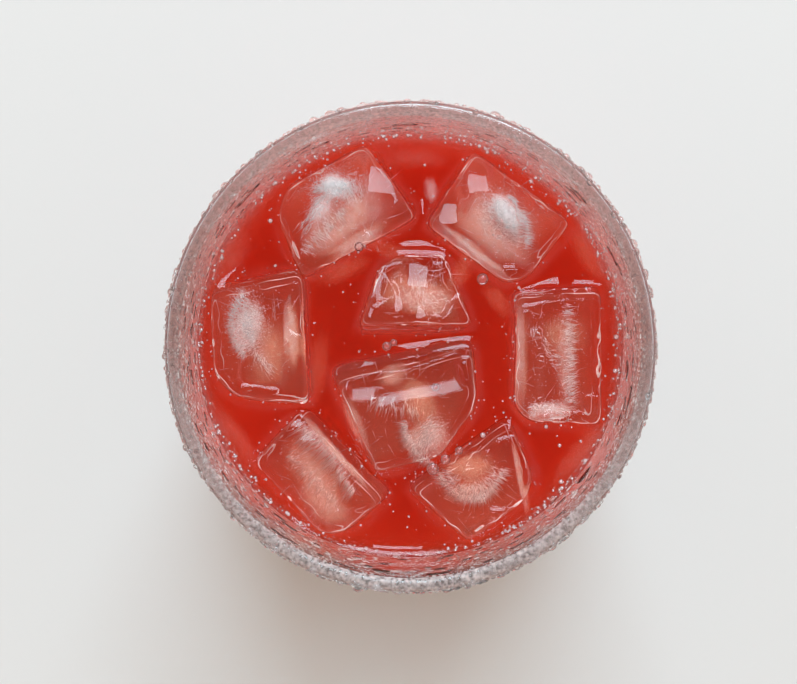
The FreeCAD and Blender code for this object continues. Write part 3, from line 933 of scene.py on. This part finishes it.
class BuildFrost(bpy.types.Operator):
    """Freeze the clouds of fine needles and bubbles into the ice"""

    bl_idname = "cocktail.build_frost"
    bl_label = "Frost"

    def execute(self, context):
        size = context.scene.cocktail_ice
        material = frost_material("frost", size.frost_in_drink_light, size.frost)
        needles, specks = [], []
        for index, (name, strokes) in enumerate(CLOUDS.items()):
            random = random_source(60 + index)
            low, high = (np.array(corner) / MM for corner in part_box(name))
            self.lay_threads(needles, specks, name, low, high, size.threads, random)
            for stroke in strokes:
                self.lay_stroke(needles, specks, stroke, low, high, random)
        roots, sizes, ways = np.hsplit(np.vstack(needles), (3, 6))
        strew("frost_needles", needle(), roots * MM, frames_along(ways), sizes * MM, material, "ice")
        places, radius = np.hsplit(np.vstack(specks), (3,))
        strew("frost_specks", bead(2, 4), places * MM, None, radius[:, 0] * MM, material, "ice")
        self.lay_mist_and_glows(context, size)
        self.paint_edge_glints(size)
        return {"FINISHED"}

    def lay_threads(self, needles, specks, name, low, high, count, random):
        """Long fine threads, mostly along the block or square to it, and lone bubbles. A row of needles
        holds its root, two thicknesses and length, and its way, in millimetres, and one of specks its
        middle and radius."""
        middle, room = (low + high)[:2] / 2, (high - low)[:2] * 0.33
        flat = middle + random.uniform(-1, 1, (count, 2)) * room
        depth = high[2] - random.uniform(2.9, 7.0, count)
        angle = math.radians(BLOCKS[name].turn) + random.normal(0, 0.5, count)
        angle += np.where(random.uniform(0, 1, count) < 0.4, math.pi / 2, 0)
        ways = circle(angle, random.normal(0, 0.15, count))
        lengths = random.uniform(0.8, 5.0, count)
        thick = random.uniform(0.018, 0.035, count)
        needles.append(np.column_stack([flat, depth, thick, thick, lengths, ways]))
        flat = middle + random.uniform(-1, 1, (count * 2, 2)) * room * 1.1
        depth = high[2] - random.uniform(2.9, 6.0, count * 2)
        specks.append(np.column_stack([flat, depth, random.uniform(0.05, 0.11, count * 2)]))

    def lay_stroke(self, needles, specks, stroke, low, high, random):
        """One stroke of a cloud: needles that fan out along it, and fine bubbles."""
        x0, y0, x1, y1, bow, width, way, fan, long, needle_count, speck_count = stroke
        ends = np.array([[x0, y0], [x1, y1]]) + (low + high)[:2] / 2
        share, flat = along_stroke(ends, bow, width / 2, needle_count, random)
        angle = np.radians(way + fan * (share - 0.5) + random.normal(0, 12, needle_count))
        dip = np.radians(random.uniform(-38, 12, needle_count))
        ways = np.column_stack([circle(angle) * np.cos(dip)[:, None], np.sin(dip)])
        depth = high[2] - random.uniform(3.0, 7.0, needle_count)
        thick = random.uniform(0.03, 0.065, needle_count)
        lengths = long * random.uniform(0.35, 1.0, needle_count)
        needles.append(np.column_stack([flat, depth, thick, thick, lengths, ways]))
        _, flat = along_stroke(ends, bow, width, speck_count, random)
        depth = high[2] - np.clip(random.normal(4.6, 1.3, speck_count), 2.6, 9)
        specks.append(np.column_stack([flat, depth, random.uniform(0.03, 0.085, speck_count)]))

    def paint_edge_glints(self, size):
        """A painted highlight: a pale line along each block's edges, for the glint of its rounded edges and
        the meniscus, made as a thin tube round the block. At angle a its middle is at r = 1 / (sum max(0, n .
        d / h)^p)^(1/p) about the block's middle, for the sides' planes n . x = h at that height, and its
        radius fades in and out along the way."""
        around, sides = 360, 5
        ways = circle(np.linspace(0, 2 * math.pi, around, endpoint=False))
        turn = np.linspace(0, 2 * math.pi, sides, endpoint=False)
        step, side = np.meshgrid(np.arange(around), np.arange(sides), indexing="ij")
        after, beside = (step + 1) % around, (side + 1) % sides
        ring = np.stack([step * sides + side, after * sides + side,
                         after * sides + beside, step * sides + beside], axis=-1).reshape(-1, 4)
        tubes, loops = [], 0
        for index, name in enumerate(BLOCKS):
            random = random_source(120 + index)
            planes, heights, matrix = block_planes(name)
            middle = block_form(name).middle
            for below, inset, thick in EDGE_GLINTS:
                height = heights[BOTTOM] - below * MM
                kept = np.array([*range(TOP), CHIP])
                left = heights[kept] - planes[kept, 2] * height
                blunt = np.maximum(ways @ (planes[kept, :2] / left[:, None]).T, 0)
                radius = (blunt ** 14).sum(axis=1) ** (-1 / 14) - inset * MM
                radius += 0.22 * MM * wavy(ways * 12 * MM, 4.5 * MM, random)
                fade = np.clip(0.2 + 0.9 * wavy(ways * 12 * MM, 7 * MM, random), 0.05, 1.0)
                fine = thick * MM * fade
                local = np.column_stack([ways * radius[:, None], np.full(around, height)])
                out = np.column_stack([ways, np.zeros(around)])[:, None] * np.cos(turn)[:, None]
                down = np.array([0, 0, 1.0]) * np.sin(turn)[:, None]
                tube = local[:, None] + fine[:, None, None] * (out - down)
                tubes.append(tube.reshape(-1, 3) @ matrix.T + middle)
                loops += 1
        offset = (np.arange(loops) * around * sides)[:, None, None]
        lines = new_piece("ice_edge_glints", np.vstack(tubes), (ring[None, :, ::-1] + offset).reshape(-1, 4), None,
                          (frost_material("edge_glint", size.edge, size.edge),))
        settle(lines, "ice")

    def lay_mist_and_glows(self, context, size):
        """Soft patches of mist, each a stack of round sheets: at r from 0 to 1 and angle a a sheet is at
        (length r cos a, width r sin a), unevenly, and its thickness is (1 - r^2)^1.6, streaked, or (1 -
        r^2)^0.8 in a narrow patch on a block, whose rim is crisp. The tinted sheets, and all the patches
        under the drink's surface, are painted light."""
        rows, around = 22, 48
        profile = np.column_stack([np.linspace(0, 1, rows), np.zeros(rows)])
        flat, quads, triangles, _ = turned(profile, around)
        flat = flat[:-1]
        edge = triangles[:, 0] == triangles[:, 0].max()
        triangles = triangles[~edge]
        parts = {"white": [], "tinted": []}
        for index, (name, mists) in enumerate(MISTS_AND_GLOWS.items()):
            random = random_source(70 + index)
            low, high = (np.array(corner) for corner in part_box(name))
            top = context.scene.cocktail_drink.level if name == "drink" else high[2]
            for x, y, long, wide, turn, depth, thick, white in mists:
                for layer in range(size.mist_layers):
                    spread = random.uniform(0.75, 1.1)
                    a = math.radians(turn + random.normal(0, 5 if wide > 2 else 1))
                    grid = flat[:, :2] * (1 + 0.16 * wavy(flat[:, :2] * 10 * MM, 9 * MM, random)[:, None])
                    grid = grid * (long * spread * MM, wide * spread * MM)
                    streak = wavy(grid, 2.2 * MM, random) * 0.3 + wavy(grid, 0.9 * MM, random) * 0.25
                    r = np.linalg.norm(flat[:, :2], axis=1)
                    crisp = wide < 2 and name != "drink"
                    amount = thick / size.mist_layers * 1.9 * (1 - r ** 2) ** (0.8 if crisp else 1.6)
                    amount = np.clip(amount * (1 + streak), 0, 0.9)
                    turned_grid = grid @ np.array([[math.cos(a), math.sin(a)], [-math.sin(a), math.cos(a)]])
                    sheet = np.column_stack([
                        turned_grid[:, 0] + (low[0] + high[0]) / 2 + (x + random.normal(0, 0.25)) * MM,
                        turned_grid[:, 1] + (low[1] + high[1]) / 2 + (y + random.normal(0, 0.25)) * MM,
                        top - (depth + 0.55 * layer) * MM + 0.25 * MM * wavy(grid, 5 * MM, random)])
                    kind = "white" if layer < round(white * size.mist_layers) else "tinted"
                    parts[kind].append((sheet, amount))
        # The tinted sheets, and every patch under the drink's surface, are painted light.
        for kind, near, far in (("white", size.frost_in_drink_light, size.frost),
                                ("tinted", size.peach, size.peach)):
            step = len(flat) * np.arange(len(parts[kind]))[:, None, None]
            mist = new_piece(kind + "_mist", np.vstack([sheet for sheet, _ in parts[kind]]),
                             (quads + step).reshape(-1, 4)[:, ::-1],
                             (triangles + step).reshape(-1, 3)[:, ::-1],
                             (frost_material(kind + "_mist", near, far, True),))
            marks = mist.data.attributes.new("thickness", "FLOAT", "POINT")
            marks.data.foreach_set("value", np.concatenate([amount for _, amount in parts[kind]]))
            settle(mist, "ice")


class BuildBubbles(bpy.types.Operator):
    """Float the bubbles: a ring where the drink meets the glass, and others beside the ice"""

    bl_idname = "cocktail.build_bubbles"
    bl_label = "Bubbles"

    def execute(self, context):
        size = context.scene.cocktail_drops
        random = random_source(80)
        top = bore_radius(context.scene.cocktail_drink.level)
        angle = random.uniform(0, 2 * math.pi, size.edge_bubbles)
        radius = uneven(random, 0.19, 0.42, size.edge_bubbles)
        out = top - radius - np.abs(random.normal(0, 0.5, size.edge_bubbles)) * MM
        flat = circle(angle) * out[:, None]
        loose = random.uniform(-1, 1, (size.fine_bubbles * 6, 2)) * top
        near = distance_to_ice(loose, context.scene.cocktail_drink.level)
        chance = np.exp(-np.maximum(near, 0) / (1.2 * MM)) + 0.05
        chosen = (near > 0.2 * MM) & (np.linalg.norm(loose, axis=1) < top * 0.97)
        chosen &= random.uniform(0, 1, len(loose)) < chance
        loose = loose[chosen][:size.fine_bubbles]
        small = uneven(random, 0.13, 0.45, len(loose))
        large = np.array(LARGE_BUBBLES) * MM
        foam = bubble_film("foam_film", 0.24)
        self.float_bubbles("foam", np.vstack([flat, loose]), np.append(radius, small), foam, 4, 7)
        film = bubble_film("bubble_film", 0.03)
        self.float_bubbles("bubbles", large[:, :2], large[:, 2], film, 16, 28)
        return {"FINISHED"}

    def float_bubbles(self, name, flat, radius, material, rows, around):
        """Put a ball at each point of the surface, a little out of the drink."""
        places = np.column_stack([flat, surface_height(flat) + radius * 0.2])
        strew(name, bead(rows, around), places, None, radius, material, "drink")


class BuildDrops(bpy.types.Operator):
    """Bead the glass with condensation outside and with drops inside above the drink"""

    bl_idname = "cocktail.build_drops"
    bl_label = "Drops"

    def execute(self, context):
        size = context.scene.cocktail_drops
        material = water_drop("water_drop", (1, 1, 1))
        rows = (("rim_drops", size.rim_drops, 86.0, 95.2, 0.26, 0.35),
                ("wall_drops", size.wall_drops, 2.5, 86.0, 0.34, 0.40),
                ("grown_drops", size.large_drops, 2.5, 94.6, 0.58, 0.28))
        for index, (name, total, low, high, middle_size, spread) in enumerate(rows):
            random = random_source(90 + index)
            height = random.uniform(low, high, total) * MM
            angle = random.uniform(0, 2 * math.pi, total)
            radius = uneven(random, middle_size, spread, total)
            out = circle(angle, np.zeros(total))
            places = out * outside_radius(height)[:, None]
            places[:, 2] = height
            sizes = np.column_stack([radius, radius, radius * random.uniform(0.45, 0.7, total)])
            strew(name, dome(2, 7), places, frames_along(out, random), sizes, material, "glass")
        self.inside(context, water_drop("drink_drop", (1.0, 0.60, 0.56)))
        self.beads(context, material)
        return {"FINISHED"}

    def beads(self, context, material):
        """Grown drops standing proud of the rim's outer edge: round it the outside turns inwards, so each
        drop's place and facing follow the rim's round, middle + radius (cos t, sin t)."""
        size = context.scene.cocktail_glass
        total = context.scene.cocktail_drops.rim_beads
        random = random_source(96)
        round_radius = size.wall * RIM_ROUND
        tilt = np.radians(random.uniform(-4, 62, total))
        below = np.where(random.uniform(0, 1, total) < 0.55, random.uniform(0, 1.6, total) * MM, 0)
        tilt = np.where(below > 0, 0, tilt)
        out = size.rim_radius - round_radius + round_radius * np.cos(tilt) - below * 0.06
        height = size.height - round_radius + round_radius * np.sin(tilt) - below
        angle = random.uniform(0, 2 * math.pi, total)
        radius = uneven(random, 0.42, 0.34, total) * np.where(tilt > 0.5, 0.7, 1)
        facing = np.column_stack([circle(angle) * np.cos(tilt)[:, None], np.sin(tilt)])
        places = np.column_stack([circle(angle) * out[:, None], height])
        sizes = np.column_stack([radius, radius, radius * random.uniform(0.6, 0.85, total)])
        frames = frames_along(facing, random)
        strew("rim_beads", dome(2, 9, 0.4), places, frames, sizes, material, "glass")

    def inside(self, context, material):
        """Drops on the inner wall, between the drink and the rim."""
        total = context.scene.cocktail_drops.inner_drops
        random = random_source(95)
        level = context.scene.cocktail_drink.level
        height = level + random.uniform(2.0, 15.5, total) * MM
        angle = random.uniform(0, 2 * math.pi, total)
        radius = uneven(random, 0.42, 0.45, total)
        inward = -circle(angle, np.zeros(total))
        places = -inward * bore_radius(height)[:, None]
        places[:, 2] = height
        stretch = random.uniform(1.0, 2.6, total)
        sizes = np.column_stack([radius * stretch, radius, radius * 0.3])
        strew("inner_drops", dome(2, 9, 0.4), places, frames_along(inward), sizes, material, "glass")


class BuildStage(bpy.types.Operator):
    """Lay the pale floor, light it from a window and all round, and stand the camera above"""

    bl_idname = "cocktail.build_stage"
    bl_label = "Stage"

    def execute(self, context):
        size = context.scene.cocktail_stage
        self.lay_floor(size)
        self.light(context, size)
        self.stand_camera(context, size)
        context.scene.view_settings.view_transform = "Standard"
        for name, bounces in BOUNCES.items():
            setattr(context.scene.cycles, name, bounces)
        return {"FINISHED"}

    def lay_floor(self, size):
        """A wide disc, r = (0, 1), so that its edge lies beyond the views."""
        around, radius = 96, 4.0
        graph = new_material("pale_floor")
        material = graph.show(graph.add("BsdfDiffuse", {"Color": size.floor}))
        vertices = np.vstack([rings(np.full(1, radius), np.zeros(1), around), [0, 0, 0]])
        new_piece("floor", vertices, None, fan(0, around, around), (material,))

    def light(self, context, size):
        """A wide window on the +Y side with a small pane above it, equally bright, and soft light all
        round that thins out straight above."""
        far = size.window_away
        window_area = WINDOWS[0][1] * WINDOWS[0][2]
        for name, wide, high, elevation, aside in WINDOWS:
            lamp = bpy.data.lights.new(name, "AREA")
            lamp.shape = "RECTANGLE"
            lamp.size, lamp.size_y = wide, high
            lamp.energy = size.window_power * wide * high / window_area
            lamp.color = size.window
            window = bpy.data.objects.new(name, lamp)
            up = math.radians(elevation)
            window.location = (aside, far * math.cos(up), far * math.sin(up))
            window.rotation_euler = (up - math.pi / 2, 0, -math.atan2(aside, far * math.cos(up)))
            context.scene.collection.objects.link(window)
        context.scene.world = bpy.data.worlds.new("room")
        graph = Graph(context.scene.world, "OutputWorld")
        fade = graph.ramp(graph.axis("Z", "Generated"), 0.72, 0.97, 1.0, size.overhead,
                          interpolation_type="SMOOTHSTEP")
        dim = graph.add("Math", {0: fade, 1: size.sky_strength}, operation="MULTIPLY")
        sky = graph.add("Background", {"Color": size.sky, "Strength": dim})
        backdrop = graph.add("Background", {"Color": (0.82, 0.82, 0.81), "Strength": fade})
        seen = graph.add("LightPath", out="Is Camera Ray")
        for kind in ("Is Glossy Ray", "Is Transmission Ray"):
            also = graph.add("LightPath", out=kind)
            seen = graph.add("Math", {0: seen, 1: also}, operation="MAXIMUM")
        graph.show(graph.mix(seen, sky, backdrop))

    def stand_camera(self, context, size):
        """Above the glass and a little towards +Y, with +Y up in the picture."""
        rim = context.scene.cocktail_glass.height
        place = np.array([0, size.camera_ahead, rim + size.camera_height])
        aim = np.array([size.aim_x, size.aim_y, rim])
        back = (place - aim) / np.linalg.norm(place - aim)
        right = np.cross([0, 1, 0], back)
        right /= np.linalg.norm(right)
        up = np.cross(back, right)
        lens = bpy.data.cameras.new("camera")
        lens.sensor_fit = "HORIZONTAL"
        lens.angle = 2 * math.atan(size.view_width / 2 / size.camera_height)
        lens.clip_start = 0.01
        camera = bpy.data.objects.new("camera", lens)
        matrix = np.eye(4)
        matrix[:3, :3] = np.column_stack([right, up, back])
        matrix[:3, 3] = place
        camera.matrix_world = Matrix(matrix)
        context.scene.collection.objects.link(camera)
        context.scene.camera = camera


class CocktailPanel(bpy.types.Panel):
    """Lists the sizes and the pieces in the 3D view's sidebar"""

    bl_idname = "VIEW3D_PT_iced_cocktail"
    bl_label = "Iced Cocktail"
    bl_space_type = "VIEW_3D"
    bl_region_type = "UI"
    bl_category = "Iced Cocktail"

    def draw(self, context):
        for operator in OPERATORS:
            self.layout.operator(operator.bl_idname)
        for group, kind in GROUPS.items():
            box = self.layout.box()
            for name in kind.__annotations__:
                box.prop(getattr(context.scene, group), name)


OPERATORS = (BuildGlass, BuildIce, BuildDrink, BuildFrost, BuildBubbles, BuildDrops, BuildStage)


def register():
    """Register the classes and hang the property groups on the scene."""
    for kind in (*GROUPS.values(), *OPERATORS, CocktailPanel):
        bpy.utils.register_class(kind)
    for name, kind in GROUPS.items():
        setattr(bpy.types.Scene, name, bpy.props.PointerProperty(type=kind))


def unregister():
    """Undo register."""
    for name in GROUPS:
        delattr(bpy.types.Scene, name)
    for kind in (CocktailPanel, *reversed(OPERATORS), *reversed(GROUPS.values())):
        bpy.utils.unregister_class(kind)


def main():
    """Build every piece in order."""
    register()
    for operator in OPERATORS:
        group, name = operator.bl_idname.split(".")
        getattr(getattr(bpy.ops, group), name)()


if __name__ == "__main__":
    main()
